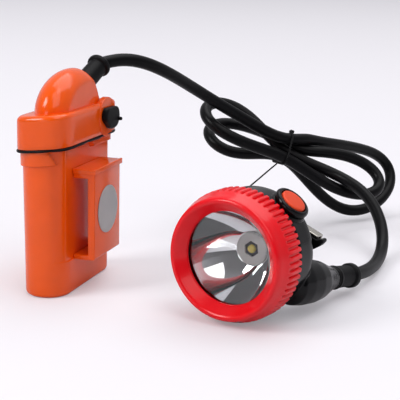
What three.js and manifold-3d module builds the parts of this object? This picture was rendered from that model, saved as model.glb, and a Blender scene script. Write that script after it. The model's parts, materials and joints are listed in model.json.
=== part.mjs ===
// Miner's cap lamp: a belt-worn battery pack, a headpiece with a screwed bezel, and the cord between them.
// Millimetres, +Z up. The origin is the centre of the pack's bottom face. +X is the belt side of the pack,
// Y runs along its width, and z = 0 is the surface that the pack and the headpiece stand on.
import * as THREE from "three";
import { mergeVertices } from "three/addons/utils/BufferGeometryUtils.js";
import Module from "manifold-3d";

const wasm = await Module();
wasm.setup();

// ---------------------------------------------------------------- driving dimensions
const GAP = 0.3; // running clearance between neighbouring solids
const WALL = 2.2; // moulded wall
const SLANT = 0.1; // rise of the parting line and the cover per mm towards the belt side

const CASE = {
  length: 81,
  thickness: 29.6,
  draft: 0.9,
  height: 87.2,
  floor: 2.6,
  fillet: 2.5,
  square: 2.0,
  neck: 8,
  neckInset: 1.6,
};
const COLLAR = { proud: 1.3, bottom: 79, farBottom: 83 };
const RECESS = { depth: 1.3, bottom: 21, facetTurn: 38, facetReach: 13.8 };
// The cover overhangs the case further on the belt side (half the thickness) than on the back.
const COVER = { length: 85.4, thickness: 35.4, back: 16.3, top: 108.3, fillet: 3, square: 2.8 };
const SEAL = { height: 1.6, proud: 0.35 };
const DOME = { x: 2.6, y: 0.4, z: 106.2, rx: 16.6, ry: 35.7, rz: 25.2, flatX: 13.6 };
const SEAT = { x: 1.6, y: 15.9, z: 118.5, tilt: 28.3, turn: 9 }; // the dome's slanted seat for the cord gland
const LOOP = { yMin: -21.4, yMax: 16.8, zMin: 20.9, zMax: 73.2, plate: 4.3, front: 27.4, wall: 3, flange: 2.6 };
const LABEL = { diameter: 28.8, thickness: 0.4 };
const PLUG = { y: 20.5, z: 100.2, radius: 8.6, thickness: 2.8, stem: 3.6, stemLength: 5.5 };
const CELL = { radius: 9.1, length: 65, pitch: 19, bottom: 5.2 };
const CORD = { radius: 4.1, sides: 10, step: 16 };
// The cord from the pack to the bundle, where it first rises over the two left-hand loops.
const LEAD_FROM_PACK = [
  [10.5, 47.5, 134],
  [17, 55.5, 133.6],
  [24.7, 64, 130.2],
  [32.6, 80, 123.2],
  [37, 98, 115.5],
  [42.5, 116, 107],
  [52, 130, 98.2],
  [66, 143, 88.3],
  [79.5, 154, 79],
  [93, 163, 66],
];
// The cord from the headpiece: along the surface, then up into the bundle from its right-hand side.
const LEAD_FROM_HEAD = [
  [172.3, 54, 9],
  [174.3, 65, 7.4],
  [175.2, 78.5, 6],
  [175.6, 93, 5],
  [175.6, 110, 5],
  [175.4, 125, 9],
  [172.6, 137, 17],
  [168, 145.5, 26],
  [160, 153, 33.8],
  [148.5, 166, 38.4],
  [136, 176, 41.5],
];
// The outer shape of the bundle, as upright sections [x, y, z, half width, half height] facing the given heading.
const HANK_LEFT = [
  [34.5, 147, 82, 12, 9],
  [40, 147, 82, 23, 17],
  [56, 149, 80, 28, 20],
  [78, 156, 71, 24, 17],
];
const HANK_WAIST = [
  [88.4, 163, 64.6, 13, 10.5],
  [94.2, 167, 62, 13, 10.5],
];
const HANK_RIGHT = [
  [112, 182, 48, 17, 22],
  [131, 201, 33.2, 29, 32.8],
  [146, 224, 30, 25, 29.5],
  [154, 251, 28, 13, 21],
  [158, 268, 24, 6, 10],
];
const HANK_HEADING = { left: 16, waist: 35, right: 57 };
const TIE = { thickness: 1.1, width: 2.6 };
const GLAND = { radius: 6, length: 25, ring: 7.5, ringLength: 3.6, flange: 10, flangeThickness: 1.8 };

// The headpiece's own frame: +Z out of the lens, +Y towards the switch, z = 0 at the bezel's front rim.
const HEAD = { x: 114, y: -47, z: 38.4, yaw: 13.6, tilt: 1.5, roll: 52 };
const BEZEL = { front: 33, skirt: 37.7, opening: 26.2, depth: 22.2, teeth: 60, toothDepth: 1.5, toothFront: -11 };
const LENS = { radius: 31, thickness: 3, back: -10.9 };
const SHELL = { neck: 33.2, body: 35.6, neckBack: -23.4, bodyBack: -40, back: -48, wall: 2.4, front: -13.2 };
const REFLECTOR = { rim: 28.6, front: -13.1, back: -33.4, throat: 9.2, hole: 4.6, wall: 1 };
const SWITCH = { z: -33.6, boss: 10.9, ring: 10.5, button: 7.6, seat: 36, top: 40.4 };
const ENTRY = { x: 29.5, start: -44, length: 36, big: 13.2, small: 6.9, lean: 11 };
const HEAD_GLAND = { radius: 6.4, length: 23, ring: 7.6, ringLength: 5, flange: 6.6, flangeThickness: 1 };
// The clip and its block stand a little askew of the switch: turned about the lens axis and shifted across it.
const ASKEW = { turn: 15.8, shift: 4 };
const BLOCK = { depth: 4.7, top: 19.4 };
const CLIP = { half: 22.5, toe: 12, thickness: 1.4, gap: 3.6, lower: -9 };

const COLOURS = {
  orange: { color: 0xe8541f, roughness: 0.25, metalness: 0 },
  black: { color: 0x141416, roughness: 0.45, metalness: 0 },
  rubber: { color: 0x1a1a1c, roughness: 0.7, metalness: 0 },
  red: { color: 0xe01622, roughness: 0.25, metalness: 0 },
  button: { color: 0xe2431f, roughness: 0.5, metalness: 0 },
  clear: { color: 0xe8eef0, roughness: 0.05, metalness: 0 },
  mirror: { color: 0xd8dadd, roughness: 0.08, metalness: 1 },
  steel: { color: 0xb4b6b8, roughness: 0.3, metalness: 1 },
  alloy: { color: 0xb9bcc0, roughness: 0.45, metalness: 1 },
  label: { color: 0xb8b8b8, roughness: 0.4, metalness: 0.2 },
  board: { color: 0x1f6b3a, roughness: 0.5, metalness: 0 },
  cell: { color: 0x2a63b8, roughness: 0.4, metalness: 0 },
  phosphor: { color: 0xe9d23c, roughness: 0.4, metalness: 0 },
};

// ---------------------------------------------------------------- solids
const rad = THREE.MathUtils.degToRad;

// A manifold-3d solid from a closed geometry, with its faces turned outwards whichever way they were wound.
function solidOf(geometry) {
  const bare = new THREE.BufferGeometry();
  bare.setAttribute("position", (geometry.index ? geometry.toNonIndexed() : geometry).getAttribute("position"));
  const merged = mergeVertices(bare, 1e-3);
  const vertProperties = merged.attributes.position.array;
  const triVerts = new Uint32Array(merged.index.array);
  const solid = new wasm.Manifold(new wasm.Mesh({ numProp: 3, vertProperties, triVerts }));
  if (solid.volume() > 0) return solid;
  for (let i = 0; i < triVerts.length; i += 3) [triVerts[i + 1], triVerts[i + 2]] = [triVerts[i + 2], triVerts[i + 1]];
  return new wasm.Manifold(new wasm.Mesh({ numProp: 3, vertProperties, triVerts }));
}

function geometryOf(solid) {
  const mesh = solid.getMesh();
  const geometry = new THREE.BufferGeometry();
  geometry.setAttribute("position", new THREE.BufferAttribute(new Float32Array(mesh.vertProperties), 3));
  geometry.setIndex(new THREE.BufferAttribute(new Uint32Array(mesh.triVerts), 1));
  const flat = geometry.toNonIndexed();
  flat.computeVertexNormals();
  return flat;
}

const moved = (geometry, x, y, z) => geometry.translate(x, y, z);
const box = (x0, x1, y0, y1, z0, z1) =>
  new THREE.BoxGeometry(x1 - x0, y1 - y0, z1 - z0).translate((x0 + x1) / 2, (y0 + y1) / 2, (z0 + z1) / 2);

// A cylinder or cone along +Z from z0 to z1.
const rod = (r0, r1, z0, z1, sides = 32) =>
  new THREE.CylinderGeometry(r1, r0, z1 - z0, sides).rotateX(Math.PI / 2).translate(0, 0, (z0 + z1) / 2);

// A body of revolution about Z from [radius, z] pairs in order of rising z on the outside.
const turned = (profile, sides = 48) =>
  new THREE.LatheGeometry(
    profile.map(([r, z]) => new THREE.Vector2(r, z)),
    sides,
  ).rotateX(Math.PI / 2);

// Rings of equally many points, from the lowest to the highest, each anticlockwise seen from +Z.
function loft(rings) {
  const count = rings[0].length;
  const positions = rings.flat(2);
  const index = [];
  for (let r = 0; r + 1 < rings.length; r++)
    for (let i = 0; i < count; i++) {
      const a = r * count + i;
      const b = r * count + ((i + 1) % count);
      index.push(a, b, b + count, a, b + count, a + count);
    }
  const top = (rings.length - 1) * count;
  for (let i = 1; i + 1 < count; i++) {
    index.push(0, i + 1, i);
    index.push(top, top + i, top + i + 1);
  }
  const geometry = new THREE.BufferGeometry();
  geometry.setAttribute("position", new THREE.Float32BufferAttribute(positions, 3));
  geometry.setIndex(index);
  return geometry.toNonIndexed();
}

// The plan outline of the pack at one height: flat long sides and rounded ends. A square of 2 gives half circles,
// and a higher one gives squarer ends. The height rises with x by the slant where slant is given.
function outline(length, thickness, square, z, slant = 0, steps = 14) {
  const half = thickness / 2;
  const centre = length / 2 - half;
  const points = [];
  for (const end of [-1, 1])
    for (let i = 0; i <= steps; i++) {
      const angle = (Math.PI * i) / steps - (end < 0 ? Math.PI : 0);
      const c = Math.cos(angle);
      const s = Math.sin(angle);
      const x = half * Math.sign(c) * Math.abs(c) ** (2 / square);
      const y = end * centre + half * Math.sign(s) * Math.abs(s) ** (2 / square);
      points.push([x, y, z + slant * x]);
    }
  return points;
}

function shell(length, thickness, square, inset, z, slant = 0) {
  return outline(length - 2 * inset, thickness - 2 * inset, square, z, slant);
}

const group = new THREE.Group();
const head = new THREE.Group();
group.add(head);

function add(name, shape, colour, parent = group) {
  const geometry = geometryOf(shape instanceof THREE.BufferGeometry ? solidOf(shape) : shape);
  const mesh = new THREE.Mesh(geometry, new THREE.MeshStandardMaterial(COLOURS[colour]));
  mesh.name = name;
  parent.add(mesh);
  return mesh;
}

// ---------------------------------------------------------------- battery pack
function caseOutline(inset, z, slant = 0) {
  const drafted = CASE.draft * (1 - z / CASE.height);
  return shell(CASE.length, CASE.thickness, CASE.square, inset + drafted, z, slant);
}

function packCase() {
  const rings = [0, 30, 60, 90].map((angle) => {
    const inset = CASE.fillet * (1 - Math.sin(rad(angle)));
    return caseOutline(inset, CASE.fillet * (1 - Math.cos(rad(angle))));
  });
  rings.push(caseOutline(0, CASE.height, SLANT));
  let solid = solidOf(loft(rings));
  const side = CASE.thickness / 2;
  const tall = CASE.height + 12;
  solid = solid.subtract(solidOf(box(side - RECESS.depth, side + 9, -60, 60, RECESS.bottom, tall)));
  // A narrow upright facet at each end softens the step between the round end and the recess.
  for (const end of [-1, 1]) {
    const facet = box(RECESS.facetReach, RECESS.facetReach + 9, -6, 6, RECESS.bottom, tall);
    facet.rotateZ(end * rad(RECESS.facetTurn));
    facet.translate(0, end * (CASE.length / 2 - side), 0);
    solid = solid.subtract(solidOf(facet));
  }
  solid = solid.add(collar());
  solid = solid.add(
    solidOf(
      loft([
        caseOutline(CASE.neckInset, CASE.height - 4, SLANT),
        caseOutline(CASE.neckInset, CASE.height + CASE.neck, SLANT),
      ]),
    ),
  );
  const cavity = loft([caseOutline(WALL + 1.2, CASE.floor), caseOutline(WALL + 1.2, CASE.height + 20, SLANT)]);
  return solid.subtract(solidOf(cavity));
}

// The raised lip under the parting line. It is interrupted on the belt side.
function collar() {
  const ring = loft([
    caseOutline(-COLLAR.proud, COLLAR.bottom, SLANT),
    caseOutline(-COLLAR.proud, CASE.height, SLANT),
  ]);
  const gap = loft([
    [[11.6, -50, 70], [40, -50, 70], [40, 4.5, 70], [11.6, 4.5, 70]],
    [[7.6, -50, 100], [40, -50, 100], [40, -1, 100], [7.6, -1, 100]],
  ]);
  const farStep = box(12, 40, -5, 60, 60, COLLAR.farBottom);
  return solidOf(ring).subtract(solidOf(gap)).subtract(solidOf(farStep));
}

function coverOutline(inset, z) {
  const narrower = (COVER.back - inset) / (COVER.thickness / 2 - inset);
  const full = shell(COVER.length, COVER.thickness, COVER.square, inset, z);
  return full.map(([x, y]) => [x < 0 ? x * narrower : x, y]).map(([x, y]) => [x, y, z + SLANT * x]);
}

function coverSeal() {
  const low = CASE.height + GAP;
  const outer = loft([coverOutline(-SEAL.proud, low), coverOutline(-SEAL.proud, low + SEAL.height)]);
  const inner = loft([
    caseOutline(CASE.neckInset - GAP, low - 2, SLANT),
    caseOutline(CASE.neckInset - GAP, low + SEAL.height + 2, SLANT),
  ]);
  return solidOf(outer).subtract(solidOf(inner));
}

// The dome's cut for the gland: everything beyond the slanted seat.
function beyondSeat(offset) {
  const cut = box(-60, 60, offset, 90, -60, 90).rotateX(rad(SEAT.tilt)).rotateZ(-rad(SEAT.turn));
  return solidOf(cut.translate(SEAT.x, SEAT.y, SEAT.z));
}

function dome(inset) {
  const ball = new THREE.SphereGeometry(1, 32, 18);
  ball.rotateX(Math.PI / 2);
  ball.scale(DOME.rx - inset, DOME.ry - inset, DOME.rz - inset);
  ball.translate(DOME.x, DOME.y, DOME.z);
  const block = box(-40, DOME.flatX - inset, -60, 60, COVER.top - 6, 160);
  return solidOf(ball).intersect(solidOf(block)).subtract(beyondSeat(-inset));
}

function packCover() {
  const low = CASE.height + SEAL.height + 2 * GAP;
  const rings = [coverOutline(0, low)];
  for (const angle of [0, 30, 60, 90]) {
    const inset = COVER.fillet * (1 - Math.cos(rad(angle)));
    rings.push(coverOutline(inset, COVER.top - COVER.fillet * (1 - Math.sin(rad(angle)))));
  }
  const inside = loft([coverOutline(WALL, low - 3), coverOutline(WALL, COVER.top - WALL)]);
  const bore = rod(CORD.radius + 0.6, CORD.radius + 0.6, -20, 20, 24);
  let solid = solidOf(loft(rings)).add(dome(0)).subtract(solidOf(inside)).subtract(dome(WALL));
  solid = solid.subtract(solidOf(onSeat(bore)));
  const hole = rod(PLUG.stem + GAP, PLUG.stem + GAP, -9, 9, 24).rotateY(Math.PI / 2);
  solid = solid.subtract(solidOf(moved(hole, COVER.thickness / 2, PLUG.y, PLUG.z)));
  for (const y of COVER_SCREW_Y) solid = solid.subtract(solidOf(coverScrewHole(y)));
  solid = solid.subtract(solidOf(clampScrewHole()));
  return solid;
}

// Stands a shape made along +Z on the dome's seat, pointing out of it and away over the far end.
function onSeat(geometry) {
  geometry.rotateX(rad(SEAT.tilt) - Math.PI / 2).rotateZ(-rad(SEAT.turn));
  return geometry.translate(SEAT.x, SEAT.y, SEAT.z);
}

const COVER_SCREW_Y = [-22, 22];
const coverSide = COVER.thickness / 2;
const screwZ = CASE.height + 7;
const screwSink = 1.3; // depth of the cover's pocket for each screw head

function coverScrewHole(y) {
  const hole = rod(3, 3, 0, 4, 20).rotateY(-Math.PI / 2);
  const shank = rod(1.7, 1.7, -3, 2, 16).rotateY(-Math.PI / 2);
  const both = solidOf(hole).add(solidOf(shank));
  return geometryOf(both).translate(-COVER.back + screwSink, y, screwZ - SLANT * COVER.back);
}

function screw(headRadius, headHeight, shankRadius, shankLength) {
  const body = solidOf(rod(headRadius, headRadius * 0.9, 0, headHeight, 20));
  const shank = solidOf(rod(shankRadius, shankRadius, -shankLength, 0.2, 16));
  const slots = solidOf(box(-headRadius * 0.7, headRadius * 0.7, -0.3, 0.3, headHeight - 0.6, headHeight + 1)).add(
    solidOf(box(-0.3, 0.3, -headRadius * 0.7, headRadius * 0.7, headHeight - 0.6, headHeight + 1)),
  );
  return geometryOf(body.add(shank).subtract(slots));
}

function clampScrewHole() {
  const hole = rod(1.6, 1.6, -6, 3, 16).rotateY(Math.PI / 2);
  return hole.translate(DOME.flatX, 12.5, COVER.top + 4.6);
}

function beltLoop() {
  const face = CASE.thickness / 2 - RECESS.depth + GAP;
  const plateBack = LOOP.front - LOOP.plate;
  const plate = box(plateBack, LOOP.front, LOOP.yMin, LOOP.yMax, LOOP.zMin, LOOP.zMax + 1);
  const foot = box(face, plateBack + 1, LOOP.yMin, LOOP.yMax, LOOP.zMin + 0.4, LOOP.zMin + LOOP.wall);
  const roof = box(face, plateBack + 1, LOOP.yMin, LOOP.yMax, LOOP.zMax - LOOP.wall, LOOP.zMax + 0.5);
  const flange = box(face, LOOP.front + 1, LOOP.yMin - 0.8, LOOP.yMax + 2, LOOP.zMax, LOOP.zMax + LOOP.flange);
  return [foot, roof, flange].map(solidOf).reduce((all, one) => all.add(one), solidOf(plate));
}

function chargePlug() {
  const outer = coverSide + GAP;
  const disc = rod(PLUG.radius, PLUG.radius, outer, outer + PLUG.thickness, 32);
  const stem = rod(PLUG.stem, PLUG.stem, outer - PLUG.stemLength, outer + 1, 24);
  const tab = box(-3.2, 3.2, PLUG.radius - 2, PLUG.radius + 3.4, outer, outer + 2);
  let solid = solidOf(disc.rotateY(Math.PI / 2)).add(solidOf(stem.rotateY(Math.PI / 2)));
  tab.rotateY(Math.PI / 2);
  tab.rotateX(rad(-28));
  solid = solid.add(solidOf(tab));
  return geometryOf(solid).translate(0, PLUG.y, PLUG.z);
}

function gland(g, sides = 32) {
  return turned(
    [
      [0, GAP],
      [g.flange, GAP],
      [g.flange, g.flangeThickness],
      [g.radius + 0.8, g.flangeThickness + 0.8],
      [g.radius, g.length - g.ringLength],
      [g.ring, g.length - g.ringLength + 0.5],
      [g.ring, g.length - 0.5],
      [g.ring - 0.8, g.length],
      [0, g.length],
    ],
    sides,
  );
}

function buildPack() {
  add("pack_case", packCase(), "orange");
  add("cover_seal", coverSeal(), "rubber");
  add("pack_cover", packCover(), "orange");
  add("belt_loop", beltLoop(), "orange");
  const label = rod(LABEL.diameter / 2, LABEL.diameter / 2, 0, LABEL.thickness, 48).rotateY(Math.PI / 2);
  const labelZ = (LOOP.zMin + LOOP.zMax) / 2 + 2;
  add("label_disc", moved(label, LOOP.front + GAP, (LOOP.yMin + LOOP.yMax) / 2, labelZ), "label");
  add("charge_plug", chargePlug(), "rubber");
  const jack = rod(3, 3, 0, 7, 20).rotateY(-Math.PI / 2);
  add("charge_jack", moved(jack, coverSide - PLUG.stemLength - 0.3, PLUG.y, PLUG.z), "steel");
  for (const [i, y] of COVER_SCREW_Y.entries()) {
    const part = screw(2.6, 0.9, 1.2, 1.5).rotateY(-Math.PI / 2);
    const base = -COVER.back + screwSink - GAP;
    add("cover_screw_" + (i + 1), moved(part, base, y, screwZ - SLANT * COVER.back), "steel");
  }
  const clamp = screw(1.3, 0.9, 0.8, 3.5).rotateY(Math.PI / 2);
  add("cord_clamp_screw", moved(clamp, DOME.flatX - 1.2, 12.5, COVER.top + 4.6), "steel");
  for (const [i, n] of [-1, 0, 1].entries())
    add(
      "battery_cell_" + (i + 1),
      moved(rod(CELL.radius, CELL.radius, 0, CELL.length, 28), 0, n * CELL.pitch, CELL.bottom),
      "cell",
    );
  const inner = WALL + 2;
  add(
    "cell_cradle",
    loft([caseOutline(inner, CASE.floor + GAP), caseOutline(inner, CELL.bottom - GAP)]),
    "black",
  );
  const cellTop = CELL.bottom + CELL.length;
  add("cell_retainer", loft([caseOutline(inner, cellTop + GAP), caseOutline(inner, cellTop + 2.3)]), "black");
  add("protection_board", box(-9, 9, -26, 26, cellTop + 5, cellTop + 6.6), "board");
  add("pack_gland", onSeat(gland(GLAND)), "rubber");
}

// ---------------------------------------------------------------- headpiece
// The bezel: a threaded ring with a knurled skirt and a smooth, flared front.
function bezelRing() {
  const b = BEZEL;
  const bore = SHELL.neck + 0.6;
  const profile = [
    [bore, b.toothFront - 0.5],
    [b.skirt - b.toothDepth, b.toothFront - 0.5],
    [b.skirt - 1.6, -8.5],
    [b.front + 1.6, -3],
    [b.front + 0.7, -0.8],
    [b.front - 0.6, 0],
    [b.front - 2, -0.2],
    [b.opening + 0.8, -5.2],
    [b.opening, -6.2],
    [b.opening, -7.5],
    [bore, -7.5],
  ];
  const front = turned([...profile, profile[0]], b.teeth);
  const skirt = new THREE.Shape();
  const root = b.skirt - b.toothDepth;
  const corners = [
    [root, -0.34],
    [b.skirt, -0.2],
    [b.skirt, 0.2],
    [root, 0.34],
  ];
  for (let i = 0; i < b.teeth; i++)
    for (const [radius, share] of corners) {
      const angle = (2 * Math.PI * (i + share)) / b.teeth;
      const point = [radius * Math.cos(angle), radius * Math.sin(angle)];
      if (skirt.curves.length || skirt.currentPoint.lengthSq()) skirt.lineTo(...point);
      else skirt.moveTo(...point);
    }
  const hole = new THREE.Path();
  hole.absarc(0, 0, bore, 0, 2 * Math.PI, true);
  skirt.holes.push(hole);
  const depth = b.depth + b.toothFront;
  const knurl = new THREE.ExtrudeGeometry(skirt, { depth, bevelEnabled: false, curveSegments: b.teeth });
  return solidOf(front).add(solidOf(knurl.translate(0, 0, -b.depth)));
}

function lensDisc() {
  return rod(LENS.radius, LENS.radius, LENS.back, LENS.back + LENS.thickness, 48);
}

function ring(inner, outer, z0, z1, sides = 48) {
  return turned(
    [
      [inner, z0],
      [outer, z0],
      [outer, z1],
      [inner, z1],
      [inner, z0],
    ],
    sides,
  );
}

function reflector() {
  const r = REFLECTOR;
  const outer = [];
  const inner = [];
  const steps = 6;
  for (let i = 0; i <= steps; i++) {
    const t = i / steps;
    const mouth = r.rim - 1.4;
    const radius = r.throat + (mouth - r.throat) * t;
    const rise = (radius ** 2 - r.throat ** 2) / (mouth ** 2 - r.throat ** 2);
    const z = r.back + 1.2 + (r.front - r.back - 1.2) * rise;
    inner.push([radius, z]);
    if (i > 0) outer.push([radius + r.wall, z - r.wall * 0.6]);
  }
  const profile = [
    [r.hole, r.back],
    [r.throat + 1.6, r.back],
    ...outer.slice(0, -1),
    [r.rim + 1.4, r.front - 1],
    [r.rim + 1.4, r.front],
    ...inner.reverse(),
    [r.hole, r.back + 1.2],
    [r.hole, r.back],
  ];
  return turned(profile, 40);
}

function headShell() {
  const s = SHELL;
  const outside = turned(
    [
      [0, s.back],
      [21, s.back],
      [28, s.back + 1.6],
      [33, s.back + 5],
      [s.body - 0.4, s.bodyBack],
      [s.body, s.bodyBack + 4],
      [s.body, s.neckBack],
      [s.neck, s.neckBack],
      [s.neck, s.front],
      [0, s.front],
    ],
    56,
  );
  const inside = turned(
    [
      [0, s.back + s.wall],
      [20, s.back + s.wall],
      [26.5, s.back + 4],
      [31, s.back + 8],
      [s.neck - s.wall, s.neckBack],
      [s.neck - s.wall, s.front + 2],
      [0, s.front + 2],
    ],
    48,
  );
  const boss = rod(SWITCH.boss, SWITCH.boss, 27, SWITCH.seat, 36).rotateX(-Math.PI / 2);
  const well = rod(SWITCH.button + 0.5, SWITCH.button + 0.5, 20, 60, 32).rotateX(-Math.PI / 2);
  const cordHole = alongEntry(rod(CORD.radius + 0.5, CORD.radius + 0.5, -12, ENTRY.length + 2, 24));
  return solidOf(outside)
    .add(solidOf(moved(boss, 0, 0, SWITCH.z)))
    .add(entryHousing())
    .subtract(solidOf(inside))
    .subtract(solidOf(moved(well, 0, 0, SWITCH.z)))
    .subtract(solidOf(cordHole));
}

// Turns a shape made along +Z so that it runs out of the cable entry, backwards and a little outwards.
function alongEntry(geometry) {
  geometry.rotateY(Math.PI - rad(ENTRY.lean));
  return geometry.translate(ENTRY.x, 0, ENTRY.start);
}

// A flared fairing that carries the cable from the side of the shell to its gland.
function entryHousing() {
  const cone = turned(
    [
      [0, -17],
      [ENTRY.big * 0.6, -17],
      [ENTRY.big * 0.92, -7],
      [ENTRY.big, 2],
      [ENTRY.big * 0.96, ENTRY.length * 0.42],
      [ENTRY.big * 0.8, ENTRY.length * 0.66],
      [ENTRY.small + 1.2, ENTRY.length * 0.86],
      [ENTRY.small, ENTRY.length],
      [0, ENTRY.length],
    ],
    32,
  );
  const behindBezel = rod(60, 60, -120, -BEZEL.depth - 2.5, 24);
  return solidOf(alongEntry(cone)).intersect(solidOf(behindBezel));
}

function switchRing() {
  const low = SWITCH.seat + GAP;
  const profile = [
    [SWITCH.button + 0.5, low],
    [SWITCH.ring, low],
    [SWITCH.ring + 0.1, low + 1.6],
    [SWITCH.ring - 0.9, low + 3],
    [SWITCH.button + 1.4, low + 3.2],
    [SWITCH.button + 0.5, low + 2.6],
  ];
  return turned([...profile, profile[0]], 40).rotateX(-Math.PI / 2).translate(0, 0, SWITCH.z);
}

function switchButton() {
  const body = turned(
    [
      [0, 32.5],
      [SWITCH.button, 32.5],
      [SWITCH.button, SWITCH.top - 0.9],
      [SWITCH.button - 1, SWITCH.top - 0.1],
      [0, SWITCH.top],
    ],
    36,
  );
  return body.rotateX(-Math.PI / 2).translate(0, 0, SWITCH.z);
}

// Turns a shape made upright in the lens axis's frame to the clip's own stance.
function askew(geometry) {
  return geometry.translate(ASKEW.shift, 0, 0).rotateZ(rad(ASKEW.turn));
}

// The block on the back of the shell that carries the helmet clip, with a small ear at each side.
function clipBlock() {
  const top = BLOCK.top;
  const half = [
    [10.5, top - 20.3],
    [13.5, top - 12],
    [19.5, top - 9.4],
    [26.5, top - 3.3],
    [27.3, top + 1.4],
    [25.5, top + 1.9],
    [23.7, top],
  ];
  const shape = new THREE.Shape();
  shape.moveTo(...half[0]);
  for (const [x, y] of half.slice(1)) shape.lineTo(x, y);
  for (const [x, y] of half.slice().reverse()) shape.lineTo(-x, y);
  const depth = BLOCK.depth;
  const block = new THREE.ExtrudeGeometry(shape, { depth, bevelEnabled: false });
  return askew(block.translate(0, 0, SHELL.back - GAP - depth));
}

const clipFront = SHELL.back - GAP - 1.2;
const tongueFront = SHELL.back - GAP - BLOCK.depth - CLIP.gap;
const CLIP_RIVET_X = [-11, 11];

// A bent spring-steel strip: a foot on top of the block, and a tongue that hangs down behind it.
function helmetClip() {
  const low = BLOCK.top + GAP;
  const high = low + CLIP.thickness;
  const back = tongueFront - CLIP.thickness;
  const outline = [
    [low, clipFront],
    [high, clipFront],
    [high, back + 2],
    [high - 0.6, back + 0.6],
    [high - 2, back],
    [CLIP.lower + 3, back],
    [CLIP.lower, back - 1.8],
    [CLIP.lower, back - 0.4],
    [CLIP.lower + 3, tongueFront],
    [low - 1, tongueFront],
    [low, tongueFront + 1],
  ];
  const shape = new THREE.Shape();
  shape.moveTo(...outline[0]);
  for (const [y, z] of outline.slice(1)) shape.lineTo(y, z);
  const strip = new THREE.ExtrudeGeometry(shape, { depth: 2 * CLIP.half, bevelEnabled: false });
  strip.applyMatrix4(new THREE.Matrix4().makeBasis(axisY, axisZ, axisX));
  strip.translate(-CLIP.half, 0, 0);
  const plan = new THREE.Shape();
  plan.moveTo(-CLIP.toe, CLIP.lower - 1);
  plan.lineTo(CLIP.toe, CLIP.lower - 1);
  plan.lineTo(CLIP.toe, BLOCK.top - 15);
  plan.lineTo(CLIP.half, BLOCK.top - 8);
  plan.lineTo(CLIP.half, 40);
  plan.lineTo(-CLIP.half, 40);
  plan.lineTo(-CLIP.half, BLOCK.top - 8);
  plan.lineTo(-CLIP.toe, BLOCK.top - 15);
  const keep = new THREE.ExtrudeGeometry(plan, { depth: 40, bevelEnabled: false }).translate(0, 0, -80);
  return askew(geometryOf(solidOf(strip).intersect(solidOf(keep))));
}

function buildHead() {
  add("head_shell", headShell(), "black", head);
  add("bezel_ring", bezelRing(), "red", head);
  add("lens", lensDisc(), "clear", head);
  add("lens_gasket", ring(28.9, LENS.radius, LENS.back - 1.5, LENS.back - GAP), "rubber", head);
  add("reflector", reflector(), "mirror", head);
  const behind = REFLECTOR.back;
  add("led_emitter", ledEmitter(behind), "phosphor", head);
  add("led_board", rod(10, 10, behind - GAP - 1.6, behind - GAP, 32), "alloy", head);
  const sink = behind - 2 * GAP - 1.6;
  add("heat_sink", rod(16, 16, sink - 4, sink, 36), "alloy", head);
  add("driver_board", box(-13, 13, -10, 10, sink - 6.4, sink - 4.8), "board", head);
  add("switch_ring", switchRing(), "rubber", head);
  add("switch_button", switchButton(), "button", head);
  add("micro_switch", box(-3.5, 3.5, 24, 29.6, SWITCH.z - 3.5, SWITCH.z + 3.5), "black", head);
  add("clip_block", clipBlock(), "black", head);
  add("helmet_clip", helmetClip(), "steel", head);
  for (const [i, x] of CLIP_RIVET_X.entries()) {
    const rivet = rod(2.2, 1.6, 0, 1, 20).rotateX(-Math.PI / 2);
    rivet.translate(x, BLOCK.top + 2 * GAP + CLIP.thickness, SHELL.back - 3);
    add("clip_rivet_" + (i + 1), askew(rivet), "steel", head);
  }
  const glandPiece = gland(HEAD_GLAND).translate(0, 0, ENTRY.length);
  add("head_gland", alongEntry(glandPiece), "rubber", head);
  const forward = new THREE.Vector3(
    -Math.sin(rad(HEAD.yaw)) * Math.cos(rad(HEAD.tilt)),
    -Math.cos(rad(HEAD.yaw)) * Math.cos(rad(HEAD.tilt)),
    Math.sin(rad(HEAD.tilt)),
  );
  const level = new THREE.Vector3(Math.cos(rad(HEAD.yaw)), -Math.sin(rad(HEAD.yaw)), 0);
  const upright = new THREE.Vector3().crossVectors(forward, level);
  const across = level.multiplyScalar(Math.cos(rad(HEAD.roll))).addScaledVector(upright, Math.sin(rad(HEAD.roll)));
  head.applyMatrix4(
    new THREE.Matrix4()
      .makeBasis(new THREE.Vector3().crossVectors(across, forward), across, forward)
      .setPosition(HEAD.x, HEAD.y, HEAD.z),
  );
  head.updateMatrixWorld(true);
}

// The LED: a round chip base with a small dome that looks through the reflector's hole.
function ledEmitter(behind) {
  return turned(
    [
      [0, behind + 0.3],
      [REFLECTOR.hole - 0.6, behind + 0.3],
      [REFLECTOR.hole - 0.6, behind + 1.2],
      [2.3, behind + 1.2],
      [2.1, behind + 2.4],
      [1.2, behind + 3.3],
      [0, behind + 3.6],
    ],
    24,
  );
}

// ---------------------------------------------------------------- cord
const axisX = new THREE.Vector3(1, 0, 0);
const axisY = new THREE.Vector3(0, 1, 0);
const axisZ = new THREE.Vector3(0, 0, 1);

function cordTube(points) {
  const path = new THREE.CatmullRomCurve3(points.map((p) => new THREE.Vector3(...p)), false, "centripetal");
  const section = new THREE.Shape();
  for (let i = 0; i < CORD.sides; i++) {
    const angle = (2 * Math.PI * i) / CORD.sides;
    const point = [CORD.radius * Math.cos(angle), CORD.radius * Math.sin(angle)];
    if (i) section.lineTo(...point);
    else section.moveTo(...point);
  }
  const steps = Math.ceil(path.getLength() / CORD.step);
  return solidOf(new THREE.ExtrudeGeometry(section, { steps, extrudePath: path }));
}

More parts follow.
